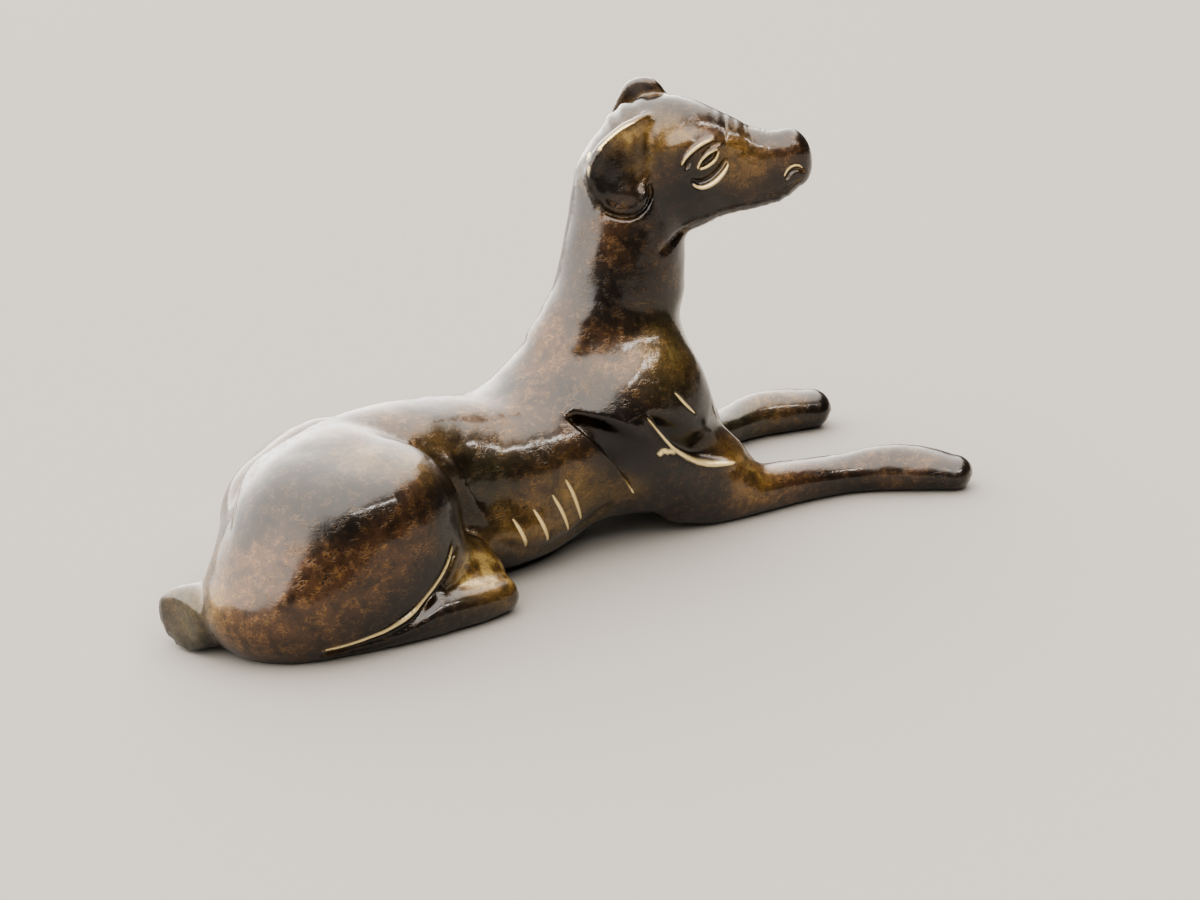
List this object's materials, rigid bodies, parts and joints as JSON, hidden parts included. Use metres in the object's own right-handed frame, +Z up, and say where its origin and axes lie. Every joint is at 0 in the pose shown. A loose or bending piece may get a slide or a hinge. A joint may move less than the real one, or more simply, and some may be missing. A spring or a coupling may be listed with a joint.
{
  "type": "reclining greyhound figurine",
  "caption": "Cast bronze figurine of a greyhound lying with head raised and turned, haunches folded and forelegs stretched along the floor.",
  "frame": {"origin": "on the floor under the middle of the figure's box", "axes": "+X forward along the body towards the forepaws, +Y to the dog's left, +Z up; the head turns to the dog's right"},
  "size_m": [0.2558, 0.0924, 0.1298],
  "materials": {
    "bronze": "dark brown patina, lacquered, rubbed golden brown in places"
  },
  "bodies": {
    "root": {"greyhound": "bronze"}
  },
  "joints": []
}
